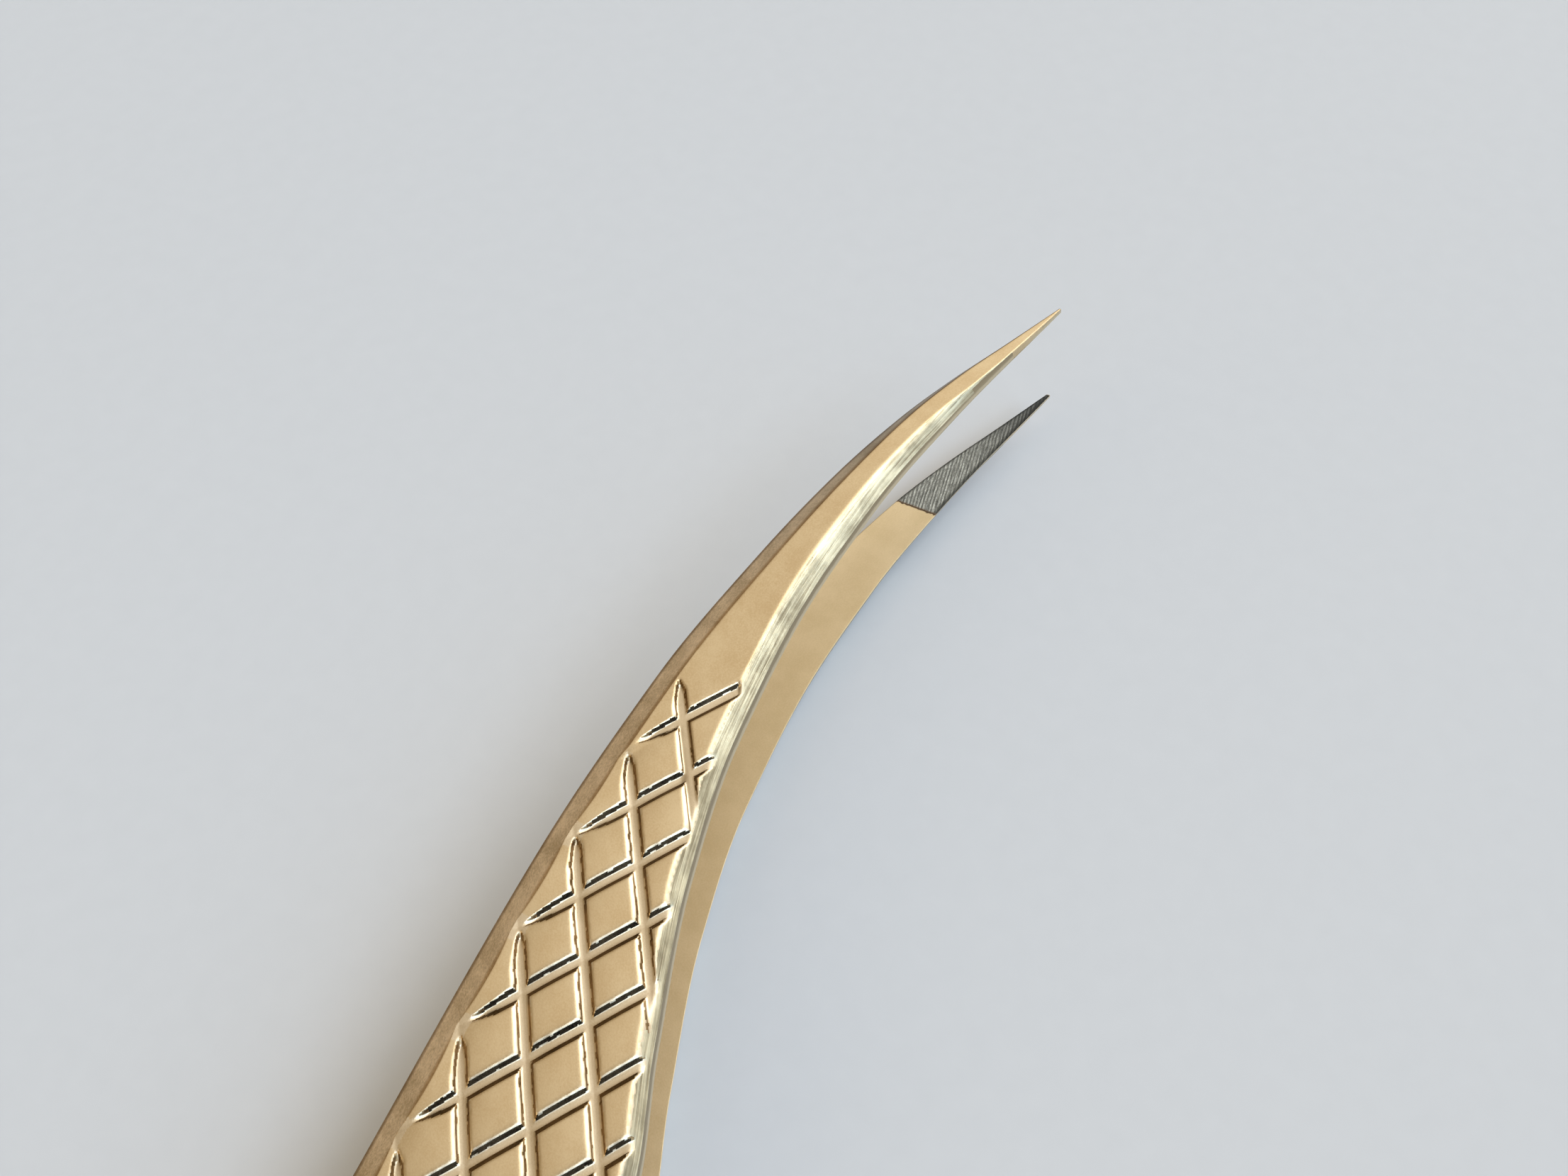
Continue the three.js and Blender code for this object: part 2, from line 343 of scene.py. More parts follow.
def stations():
    spans = [np.linspace(start, end, steps, endpoint=False) for start, end, steps in STATION_SPANS]
    return np.concatenate(spans + [[TAIL_END]])


def machined_lift(back):
    """How far the blank's face stands over the finished face, where the grip is then cut."""
    rise = smooth(MACHINED_FRONT, MACHINED_FRONT + MACHINED_RAMP, back)
    fall = smooth(MACHINED_REAR - MACHINED_RAMP, MACHINED_REAR, back)
    return MACHINED_LIFT * rise * (1 - fall)


def blank_sections(back):
    """Rings of points round the blank: inner face, concave side, outer face, convex side."""
    x = LENGTH / 2 - back
    inner = half_gap(back) + np.maximum(0, WELD_V - (TAIL_END - back))
    land = np.maximum(land_height(back), inner + LAND_LEAST)
    land_middle = (inner + land) / 2
    top = outer_face(back) + machined_lift(back)
    rise = outer_face(back) - land_height(back)
    concave, convex = concave_edge(back), convex_edge(back)
    concave_start, convex_start = concave_foot(back), convex_foot(back)
    concave_slope = rise / concave_bevel(back)
    convex_slope = rise / convex_bevel(back)
    concave_crease = concave_start + (top - land) / concave_slope
    convex_crease = convex_start - (top - land) / convex_slope
    face_width = convex_crease - concave_crease
    concave_room = np.minimum(concave_crease - concave_start, face_width)
    convex_room = np.minimum(convex_start - convex_crease, face_width)
    concave_round = np.minimum(concave_rounding(back), ROUNDING_SHARE * concave_room)
    convex_round = np.minimum(CONVEX_ROUNDING, ROUNDING_SHARE * convex_room)

    def at(y, z):
        return np.stack([x, y, z], axis=-1)

    ring = []
    for t in np.linspace(0, 1, INNER_POINTS):
        ring.append(at(convex + (concave - convex) * t, inner))
    ring.append(at((concave + concave_start) / 2, land_middle))
    bevel_end = concave_crease - concave_round
    for t in np.linspace(0, 1, BEVEL_POINTS)[:-1]:
        y = concave_start + (bevel_end - concave_start) * t
        ring.append(at(y, land + (y - concave_start) * concave_slope))
    for s in np.linspace(1, -1, ROUNDING_POINTS):
        drop = concave_slope * (s + 1) ** 2 * concave_round / 4
        ring.append(at(concave_crease - s * concave_round, top - drop))
    start, end = concave_crease + concave_round, convex_crease - convex_round
    for t in np.linspace(0, 1, FACE_POINTS)[1:-1]:
        ring.append(at(start + (end - start) * t, top))
    for s in np.linspace(-1, 1, ROUNDING_POINTS):
        drop = convex_slope * (s + 1) ** 2 * convex_round / 4
        ring.append(at(convex_crease + s * convex_round, top - drop))
    bevel_start = convex_crease + convex_round
    for t in np.linspace(0, 1, BEVEL_POINTS)[1:]:
        y = bevel_start + (convex_start - bevel_start) * t
        ring.append(at(y, land + (convex_start - y) * convex_slope))
    ring.append(at((convex + convex_start) / 2, land_middle))
    return np.stack(ring, axis=1)


def make_blank():
    sections = blank_sections(stations())
    rows, ring, _ = sections.shape
    blank = make_object("blank", sections.reshape(-1, 3), loft_faces(rows, ring))
    face_outwards(blank.data)
    return blank


# ---- The grip's cutter: the space over the machined face ----

WALL_NOISE = np.random.default_rng(WALL_SEED).uniform(-1, 1, 4096)
# Each groove reads its own stretch of the noise, this many steps on from its neighbour's
NOISE_SHIFT = 37.7
FIRST_SHIFT = 20


def wall_noise(distance, groove):
    """Smooth noise from -1 to 1 along a groove's walls."""
    count = len(WALL_NOISE)
    place = (distance / RAGGED_STEP + (groove + FIRST_SHIFT) * NOISE_SHIFT) % (count - 1)
    return np.interp(place, np.arange(count), WALL_NOISE)


def lattice_lines(first, last):
    """Groove numbers, with the lines between them that a groove's cross-section and a land need."""
    near = np.array([d for d, _ in GROOVE_PROFILE]) / GROOVE_SPACING
    land = np.linspace(near[-1], 1 - near[-1], LAND_STEPS + 1)[1:-1]
    period = np.concatenate([near, land, 1 - near[:0:-1]])
    return np.concatenate([first + k + period for k in range(last - first)])


def steep_ends(number):
    """Where a steep groove starts and ends, in the shallow grooves' numbers."""
    return number - 0.5, np.minimum(number + ROWS + 1, LAST_SHALLOW)


def shallow_ends(number):
    """Where a shallow groove starts and ends, in the steep grooves' numbers."""
    return np.maximum(number - ROWS - 1, -1), LAST_STEEP


def groove_share(number, along, first, last, ends, left, ahead, behind):
    """Share of the groove depth that one family of grooves cuts, at a number across them and along them.

    The profile ahead is for a groove's side with the higher number. The grooves taper out as left
    falls from 1 to 0.
    """
    near = np.clip(number, first - GROOVE_REACH, last + GROOVE_REACH)
    nearest = np.round(near)
    start, end = ends(nearest)
    inside = smooth(start - GROOVE_FADE, start, along) * (1 - smooth(end, end + GROOVE_FADE, along))
    left = np.clip(left, 0, 1)
    side = np.where(near > nearest, 1, -1)
    distance = np.abs(near - nearest) * GROOVE_SPACING
    on_wall = smooth(*RAGGED_FROM, distance) * (1 - smooth(*RAGGED_TO, distance))
    distance = distance + RAGGED * wall_noise(along * GROOVE_SPACING, nearest) * on_wall * side
    distance = distance / (LEAST_WIDTH + (1 - LEAST_WIDTH) * left)
    share_ahead = np.interp(distance, *np.array(ahead, float).T)
    share_behind = np.interp(distance, *np.array(behind, float).T)
    share = np.where(side < 0, share_behind, share_ahead) * inside * smooth(0, GROOVE_RUN_OUT, left)
    return np.where(near == number, share, 0)


def between(number, first, last):
    """1 between the first and last grooves of a family, falling to 0 across half the width of each."""
    half = GROOVE_HALF / GROOVE_SPACING
    return smooth(first, first + half, number) * (1 - smooth(last - half, last, number))


def off_middle(number):
    """0 midway between two grooves, 1 at each of them."""
    return np.abs(number - np.round(number - 0.5) - 0.5) * 2


def rounded_into_bevel(back, y, height):
    """The machined height, rounded where it meets the concave bevel and clear of the steel beyond it."""
    slope = (outer_face(back) - land_height(back)) / concave_bevel(back)
    bevel = land_height(back) + (y - concave_foot(back)) * slope
    reach = slope * concave_rounding(back)
    over = height - bevel
    blended = np.minimum(height, bevel) - np.maximum(reach - np.abs(over), 0) ** 2 / (4 * reach)
    return np.where(over > reach, bevel + (over - reach) / 2, blended)


def machined_face(i, j):
    """Points of the machined face over lattice places (i, j)."""
    back = GRIP_START + STEP_BACK * (i + j)
    y = GRIP_CENTRE_Y + STEP_Y * (ROWS_FROM_CENTRE + i - j)
    inside = convex_foot(back) - convex_bevel(back) - BEVEL_MARGIN - y
    steep = groove_share(
        i, j, FIRST_STEEP, LAST_STEEP, steep_ends, inside / STEEP_TAPER,
        GROOVE_PROFILE, CRISP_SIDE_PROFILE,
    )
    shallow = groove_share(
        j, i, FIRST_SHALLOW, LAST_SHALLOW, shallow_ends, inside / SHALLOW_TAPER,
        TIP_SIDE_PROFILE, TAIL_SIDE_PROFILE,
    )
    crown = LAND_CROWN * (off_middle(i) ** 2 + off_middle(j) ** 2) / 2
    crown = crown * between(i, FIRST_STEEP, LAST_STEEP) * between(j, FIRST_SHALLOW, LAST_SHALLOW)
    height = outer_face(back) - GROOVE_DEPTH * np.maximum(steep, shallow) - crown
    beyond = np.maximum(MACHINED_FRONT - back, 0) + np.maximum(back - MACHINED_REAR, 0)
    height = rounded_into_bevel(back, y, height) + CUTTER_CLIMB * beyond
    return np.stack([LENGTH / 2 - back, y, height], axis=-1)


def make_cutter():
    """A closed solid whose underside is the machined face, over the lattice cells that are cut."""
    lines_i = lattice_lines(-ROWS_FROM_CENTRE, LAST_STEEP + CUTTER_SPARE)
    lines_j = lattice_lines(-ROWS_FROM_CENTRE, LAST_SHALLOW + CUTTER_SPARE)
    grid_i, grid_j = np.meshgrid(lines_i, lines_j, indexing="ij")
    under = machined_face(grid_i, grid_j)
    middle_i = (grid_i[:-1, :-1] + grid_i[1:, 1:]) / 2
    middle_j = (grid_j[:-1, :-1] + grid_j[1:, 1:]) / 2
    from_start = STEP_BACK * (middle_i + middle_j)
    kept = np.abs(middle_i - middle_j + ROWS_FROM_CENTRE) < CUTTER_REACH / STEP_Y
    kept &= from_start > MACHINED_FRONT - CUTTER_OVERRUN - GRIP_START
    kept &= from_start < MACHINED_REAR + CUTTER_OVERRUN - GRIP_START
    rows, columns = np.nonzero(kept)
    stride = len(lines_j)
    corner = rows * stride + columns
    quads = np.stack([corner, corner + stride, corner + stride + 1, corner + 1], axis=1)
    used, quads = np.unique(quads, return_inverse=True)
    quads = quads.reshape(-1, 4)
    low = under.reshape(-1, 3)[used]
    high = low.copy()
    high[:, 2] = CUTTER_TOP
    count = len(low)
    edges = np.concatenate([quads[:, [k, (k + 1) % 4]] for k in range(4)])
    keys = edges[:, 0] * count + edges[:, 1]
    reversed_keys = edges[:, 1] * count + edges[:, 0]
    border = edges[~np.isin(keys, reversed_keys)]
    walls = np.stack([border[:, 1], border[:, 0], border[:, 0] + count, border[:, 1] + count], axis=1)
    lids = quads[:, ::-1] + count
    faces = np.concatenate([quads, walls, lids]).tolist()
    cutter = make_object("cutter", np.concatenate([low, high]), faces)
    face_outwards(cutter.data)
    return cutter


def cut_arm():
    """One arm's mesh, in the tweezers' frame."""
    blank, cutter = make_blank(), make_cutter()
    cut = blank.modifiers.new("grip", "BOOLEAN")
    cut.operation = "DIFFERENCE"
    cut.solver = "MANIFOLD"
    cut.object = cutter
    depsgraph = bpy.context.evaluated_depsgraph_get()
    mesh = bpy.data.meshes.new_from_object(blank.evaluated_get(depsgraph))
    for obj in (blank, cutter):
        bpy.data.objects.remove(obj)
    mesh.materials.clear()
    return mesh


# ---- Which surface each polygon of an arm belongs to ----

FACE, BEVEL, GROOVE, INNER, LAND, FAR_BEVEL, WALL, TAIL_WALL, TIP_WALL = range(9)

# Upright part of a polygon's normal on an outer surface, on the face, and, at most, on a groove's wall
OUTER_UPRIGHT = 0.5
FACE_UPRIGHT = 0.965
WALL_UPRIGHT = 0.72
# Depth under the outer face, at most, of the face and of a crowned land
FACE_DEPTH = 0.06
CROWN_DEPTH = 0.05
# The grip's cut runs this far past the bevels' creases, and lies this far under their planes
CUT_PAST_CREASE = 0.3
CUT_UNDER_BEVEL = 0.004
# Part of the normal towards the tail on the shallow grooves' two walls
TAIL_WALL_LEAN = 0.65
TIP_WALL_LEAN = -0.45
# The near-black painted shade on the walls that face the tail stops this far inside the convex crease
TAIL_WALL_INSIDE = 0.38
# Nearer the tips than GROUND_FROM the concave bevel is plated like the face. Nearer than NARROW_TO
# whatever leans to the convex side is its bevel
GROUND_FROM = 3.6
NARROW_TO = 8
NARROW_UPRIGHT = 0.2
CONCAVE_LEAN = -0.2
CONVEX_LEAN = 0.3


def bevel_height(points):
    """Height of the lower of the two bevel planes over plan places."""
    back = LENGTH / 2 - points[:, 0]
    rise = outer_face(back) - land_height(back)
    concave = land_height(back) + (points[:, 1] - concave_foot(back)) * rise / concave_bevel(back)
    convex = land_height(back) + (convex_foot(back) - points[:, 1]) * rise / convex_bevel(back)
    return np.minimum(concave, convex)


def regions_of(mesh):
    """Which surface each polygon belongs to, from its place and slope."""
    centre = read(mesh.polygons, "center", 3)
    normal = read(mesh.polygons, "normal", 3)
    back, y = LENGTH / 2 - centre[:, 0], centre[:, 1]
    upright = normal[:, 2]
    depth = outer_face(back) - centre[:, 2]
    inside_concave = y - concave_foot(back) - concave_bevel(back)
    inside_convex = convex_foot(back) - convex_bevel(back) - y
    convex_half = y > (concave_edge(back) + convex_edge(back)) / 2

    region = np.full(len(centre), LAND)
    region[upright > OUTER_UPRIGHT] = BEVEL
    region[(upright > OUTER_UPRIGHT) & convex_half] = FAR_BEVEL
    region[(upright > FACE_UPRIGHT) & (depth < FACE_DEPTH)] = FACE

    cut = (back > MACHINED_FRONT) & (back < MACHINED_REAR) & (region != FACE)
    cut &= np.minimum(inside_concave, inside_convex) > -CUT_PAST_CREASE
    cut &= centre[:, 2] < bevel_height(centre) - CUT_UNDER_BEVEL
    region[cut] = GROOVE
    region[cut & (depth < CROWN_DEPTH)] = FACE
    to_tail = -normal[:, 0] * math.sin(DIAMOND_HALF_ANGLE) - normal[:, 1] * math.cos(DIAMOND_HALF_ANGLE)
    # Walls are sorted by the way they face, which picks their painted shade
    wall = cut & ((upright < WALL_UPRIGHT) | (to_tail < TIP_WALL_LEAN))
    region[wall] = WALL
    region[wall & (to_tail > TAIL_WALL_LEAN) & (inside_convex > TAIL_WALL_INSIDE)] = TAIL_WALL
    region[wall & (to_tail < TIP_WALL_LEAN)] = TIP_WALL

    leans = upright > NARROW_UPRIGHT
    region[leans & (back < GROUND_FROM) & (normal[:, 1] < CONCAVE_LEAN)] = FACE
    region[leans & (back < NARROW_TO) & (normal[:, 1] > CONVEX_LEAN)] = FAR_BEVEL
    region[upright < -OUTER_UPRIGHT] = INNER
    return region


SHARP_TURN = math.radians(24)


def mark_sharp(mesh, region):
    """Marks edges sharp where two surfaces meet at an angle, but not inside the grip's cut."""
    edge_of_loop = read(mesh.loops, "edge_index", 1, np.int32)
    totals = read(mesh.polygons, "loop_total", 1, np.int32)
    face_of_loop = np.repeat(np.arange(len(totals)), totals)
    order = np.argsort(edge_of_loop, kind="stable")
    pairs = face_of_loop[order].reshape(-1, 2)
    normal = read(mesh.polygons, "normal", 3)
    turn = np.sum(normal[pairs[:, 0]] * normal[pairs[:, 1]], axis=1)
    in_cut = np.isin(region[pairs], (FACE, GROOVE, WALL, TAIL_WALL, TIP_WALL)).all(axis=1)
    sharp = (turn < math.cos(SHARP_TURN)) & ~in_cut
    mesh.attributes.new("sharp_edge", "BOOLEAN", "EDGE")
    mesh.attributes["sharp_edge"].data.foreach_set("value", sharp)


def finish_arm(name, source, region, flip):
    """A placed copy of the arm's mesh, mirrored through the middle plane for the lower arm.

    Its vertices carry their place on the strip (back, across from the concave edge, up from the inner
    face) and on the convex bevel (in from its crease, in from its foot), all in mm.
    """
    mesh = source.copy()
    mesh.name = name
    points = read(mesh.vertices, "co", 3).astype(float)
    back = LENGTH / 2 - points[:, 0]
    strip = np.stack([back, points[:, 1] - concave_edge(back), points[:, 2] - half_gap(back)], axis=1)
    past_crease = points[:, 1] - convex_foot(back) + convex_bevel(back)
    in_bevel = np.stack([past_crease, convex_bevel(back) - past_crease, np.zeros_like(back)], axis=1)
    if flip:
        points[:, 2] *= -1
        mesh.flip_normals()
    mesh.vertices.foreach_set("co", laid(points).astype(np.float32).ravel())
    store_vectors(mesh, "strip", strip)
    store_vectors(mesh, "in_bevel", in_bevel)
    mesh.polygons.foreach_set("material_index", region.astype(np.int32))
    mesh.shade_smooth()
    mesh.update()
    arm = bpy.data.objects.new(name, mesh)
    bpy.context.scene.collection.objects.link(arm)
    return arm


# ---- Tip coating ----

def across_ridges(back, y):
    return y * math.cos(COATING_TURN) + back * math.sin(COATING_TURN)


def coating_tops(back, side):
    """Columns of points over the coating, from its convex side to its concave side."""
    rng = np.random.default_rng(COATING_SEED)
    rear = rng.uniform(-1, 1, COATING_COLUMNS + 1)
    rear = np.convolve(rear, REAR_BLUR, "same") * REAR_RAGGED
    growth = COATING_TIP_SHARE + (1 - COATING_TIP_SHARE) * smooth(0, COATING_TIP, back)
    start, end = convex_edge(back) + side, concave_edge(back) - side
    columns = []
    for c in range(COATING_COLUMNS + 1):
        y = start + (end - start) * c / COATING_COLUMNS
        ridge = 0.5 + 0.5 * np.cos(2 * math.pi * across_ridges(back, y) / COATING_PITCH)
        mottle = rng.uniform(-1, 1, len(back))
        height = COATING_EVEN + COATING_RIDGED * ridge + COATING_MOTTLED * mottle
        height = height * COATING_PROUD * growth
        if min(c, COATING_COLUMNS - c) < COATING_EDGE_COLUMNS:
            height = height * COATING_EDGE_SHARE
        x = LENGTH / 2 - back - rear[c] * (back == back[-1])
        columns.append(np.stack([x, y, half_gap(back) - height], axis=-1))
    return columns


def coating(name, flip):
    """Grit shell over the inner face of a point, with fine lengthwise ridges, wrapped round its edges.

    Its vertices carry their back, their place across the ridges and their distance from the nearer
    edge, in mm. Along the convex edge that distance counts for more, so that the dark rim is narrower.
    """
    close = np.linspace(COATING_START, COATING_CLOSE, 12)[:-1]
    back = np.concatenate([close, np.linspace(COATING_CLOSE, COATING_LENGTH, 110)])
    x, inner = LENGTH / 2 - back, half_gap(back)
    convex, concave = convex_edge(back), concave_edge(back)
    side = -np.minimum(COATING_SIDE[0], COATING_SIDE[1] * width(back))
    lip = np.minimum(COATING_LIP[0], COATING_LIP[1] * width(back))
    wrap = np.minimum(COATING_WRAP, 0.3 * thickness(back))
    rows = coating_tops(back, side)
    wrapped = [
        (concave - side, inner + 0.3 * wrap), (concave - side, inner + wrap),
        (concave + lip, inner + wrap), (concave + lip, inner + COATING_BED),
        (convex - lip, inner + COATING_BED), (convex - lip, inner + wrap),
        (convex + side, inner + wrap), (convex + side, inner + 0.3 * wrap),
    ]
    for y, z in wrapped:
        rows.append(np.stack([x, y, z], axis=-1))
    sections = np.stack(rows, axis=1)
    if flip:
        sections[..., 2] *= -1
    count, ring, _ = sections.shape
    shell = make_object(name, laid(sections.reshape(-1, 3)), loft_faces(count, ring))
    y = sections[..., 1]
    margin = np.minimum(1.8 * (convex[:, None] - y), y - concave[:, None])
    backs = np.repeat(back, ring)
    across = across_ridges(backs, y.ravel())
    store_vectors(shell.data, "strip", np.stack([backs, across, margin.ravel()], axis=1))
    face_outwards(shell.data)
    shell.data.shade_smooth()
    return shell


# ---- Weld ----

def weld_bead():
    """A rippled bead in the V across the tail end."""
    shoulder = -LENGTH / 2 + BEAD_CROWN
    rows = []
    for y in np.linspace(-BEAD_HALF, BEAD_HALF, 91):
        squeeze = math.sqrt(max(1 - (abs(y) / BEAD_HALF) ** 6, BEAD_END_SHARE))
        ring = []
        for angle in np.linspace(-math.pi / 2, math.pi / 2, 17):
            bow = math.cos(angle)
            wave = 0.5 + 0.5 * math.cos(2 * math.pi * (y + BEAD_LAG * bow) / BEAD_PITCH)
            bulge = BEAD_CROWN * bow * (1 - BEAD_RIPPLE_SHARE * (1 - wave)) * squeeze
            ring.append((shoulder - bulge, y, math.sin(angle) * (BEAD_DEPTH - BEAD_CROWN) * squeeze))
        ring.append((shoulder + BEAD_SHOULDER, y, BEAD_SHOULDER_HALF * squeeze))
        ring.append((BEAD_DEPTH - LENGTH / 2, y, 0.0))
        ring.append((shoulder + BEAD_SHOULDER, y, -BEAD_SHOULDER_HALF * squeeze))
        rows.append(ring)
    sections = np.array(rows)
    count, ring, _ = sections.shape
    bead = make_object("weld_bead", laid(sections.reshape(-1, 3)), loft_faces(count, ring))
    face_outwards(bead.data)
    bead.data.shade_smooth()
    return bead


# ---- Material helpers ----

def new_material(name, metallic):
    material = bpy.data.materials.new(name)
    material.use_nodes = True
    tree = material.node_tree
    shader = tree.nodes["Principled BSDF"]
    shader.inputs["Metallic"].default_value = metallic
    return material, tree, shader


def node(tree, kind, **settings):
    """A new node, with sockets or properties set by name."""
    made = tree.nodes.new(kind)
    for key, value in settings.items():
        if key in made.inputs:
            made.inputs[key].default_value = value
        else:
            setattr(made, key, value)
    return made


def split(tree, vector):
    made = node(tree, "ShaderNodeSeparateXYZ")
    tree.links.new(vector, made.inputs[0])
    return made.outputs


def strip_place(tree, stretch=(1, 1, 1)):
    """Place on the strip in mm (back, across, height), each scaled by stretch."""
    place = node(tree, "ShaderNodeAttribute", attribute_name="strip")
    scaled = node(tree, "ShaderNodeVectorMath", operation="MULTIPLY")
    scaled.inputs[1].default_value = stretch
    tree.links.new(place.outputs["Vector"], scaled.inputs[0])
    return scaled.outputs["Vector"]


def noise(tree, place, scale=1.0, detail=5.0, roughness=0.65):
    made = node(tree, "ShaderNodeTexNoise", Scale=scale, Detail=detail, Roughness=roughness)
    tree.links.new(place, made.inputs["Vector"])
    return made.outputs["Fac"]


def ramp(tree, value, *stops):
    """A colour ramp through (place, colour) stops."""
    made = tree.nodes.new("ShaderNodeValToRGB")
    elements = made.color_ramp.elements
    while len(elements) < len(stops):
        elements.new(0.5)
    for element, (place, colour) in zip(elements, stops):
        element.position = place
        element.color = (*colour, 1)
    tree.links.new(value, made.inputs["Fac"])
    return made.outputs["Color"]


def mapped(tree, value, start, end, low=0.0, high=1.0, step="LINEAR"):
    """A value taken from start...end to low...high, and held at each end."""
    made = node(tree, "ShaderNodeMapRange", interpolation_type=step)
    made.inputs["From Min"].default_value = start
    made.inputs["From Max"].default_value = end
    made.inputs["To Min"].default_value = low
    made.inputs["To Max"].default_value = high
    tree.links.new(value, made.inputs["Value"])
    return made.outputs["Result"]


def spread(tree, grain, low, high):
    """Noise, which mostly lies between 0.3 and 0.7, taken to low...high."""
    return mapped(tree, grain, 0.3, 0.7, low, high)


def mean(tree, first, second):
    total = node(tree, "ShaderNodeMath", operation="ADD")
    tree.links.new(first, total.inputs[0])
    tree.links.new(second, total.inputs[1])
    halved = node(tree, "ShaderNodeMath", operation="MULTIPLY")
    halved.inputs[1].default_value = 0.5
    tree.links.new(total.outputs[0], halved.inputs[0])
    return halved.outputs[0]


def multiplied(tree, colour, tint):
    mixed = node(tree, "ShaderNodeMix", data_type="RGBA", blend_type="MULTIPLY")
    mixed.inputs["Factor"].default_value = 1.0
    tree.links.new(colour, mixed.inputs["A"])
    tree.links.new(tint, mixed.inputs["B"])
    return mixed.outputs["Result"]


def scaled_colour(tree, colour, factor):
    toned = node(tree, "ShaderNodeVectorMath", operation="SCALE")
    tree.links.new(colour, toned.inputs[0])
    tree.links.new(factor, toned.inputs["Scale"])
    return toned.outputs["Vector"]


def raise_surface(tree, shader, height, distance):
    """Bumps of a height texture, distance in mm. Returns the bump node."""
    raised = node(tree, "ShaderNodeBump")
    raised.inputs["Distance"].default_value = distance * MM
    tree.links.new(height, raised.inputs["Height"])
    tree.links.new(raised.outputs["Normal"], shader.inputs["Normal"])
    return raised


# ---- Materials ----

def metal(name, dark, light, rough, streaks, bump, edge=0.05):
    """Plated or ground steel: two tones in soft clouds, and a grain with this many streaks a mm each way.

    Its edges look rounded over edge mm, and its grain stands bump mm high.
    """
    material, tree, shader = new_material(name, metallic=1.0)
    clouds = noise(tree, strip_place(tree), 0.7, 4.0, 0.6)
    grain = noise(tree, strip_place(tree, streaks))
    tone = ramp(tree, mean(tree, clouds, grain), (0.40, dark), (0.60, light))
    tree.links.new(tone, shader.inputs["Base Color"])
    tree.links.new(spread(tree, grain, *rough), shader.inputs["Roughness"])
    rounded = node(tree, "ShaderNodeBevel", samples=4)
    rounded.inputs["Radius"].default_value = edge * MM
    raised = raise_surface(tree, shader, grain, bump)
    tree.links.new(rounded.outputs["Normal"], raised.inputs["Normal"])
    return material


def paint_bevel_shade(material):
    """Painted shade on the convex bevel: dark lines along its two long edges, and a tone that is darker
    towards the tip and lighter further back.
    """
    tree = material.node_tree
    shader = tree.nodes["Principled BSDF"]
    base = shader.inputs["Base Color"].links[0].from_socket
    place = node(tree, "ShaderNodeAttribute", attribute_name="in_bevel")
    sides = split(tree, place.outputs["Vector"])
    crease = ramp(
        tree, sides["X"],
        (0.0, (0.62, 0.50, 0.36)), (0.1, (0.72, 0.62, 0.5)), (0.2, (1.0, 1.0, 1.0)),
    )
    rim = ramp(
        tree, sides["Y"],
        (0.0, (0.45, 0.4, 0.36)), (0.07, (0.5, 0.45, 0.41)), (0.16, (1.0, 1.0, 1.0)),
    )
    back = split(tree, strip_place(tree))["X"]
    brightness = mapped(tree, back, 6.0, 22.0, 0.58, 1.15, "SMOOTHSTEP")
    lined = multiplied(tree, multiplied(tree, base, crease), rim)
    tree.links.new(scaled_colour(tree, lined, brightness), shader.inputs["Base Color"])


def side_shade_material():
    """The strip's cut side: gold by the inner face, then a darker band of painted shade towards the bevel."""
    material, tree, shader = new_material("side_painted_shade", metallic=1.0)
    height = split(tree, strip_place(tree))["Z"]
    grain = noise(tree, strip_place(tree, (2.5, 18, 18)))
    wander = node(tree, "ShaderNodeMath", operation="MULTIPLY_ADD")
    wander.inputs[1].default_value = 0.16
    tree.links.new(grain, wander.inputs[0])
    tree.links.new(height, wander.inputs[2])
    tone = ramp(
        tree, wander.outputs[0],
        (0.0, (0.72, 0.62, 0.44)), (0.22, (0.68, 0.58, 0.40)),
        (0.30, (0.42, 0.34, 0.22)), (0.6, (0.34, 0.27, 0.17)),
    )
    tree.links.new(tone, shader.inputs["Base Color"])
    tree.links.new(spread(tree, grain, 0.34, 0.5), shader.inputs["Roughness"])
    raise_surface(tree, shader, grain, 0.006)
    return material


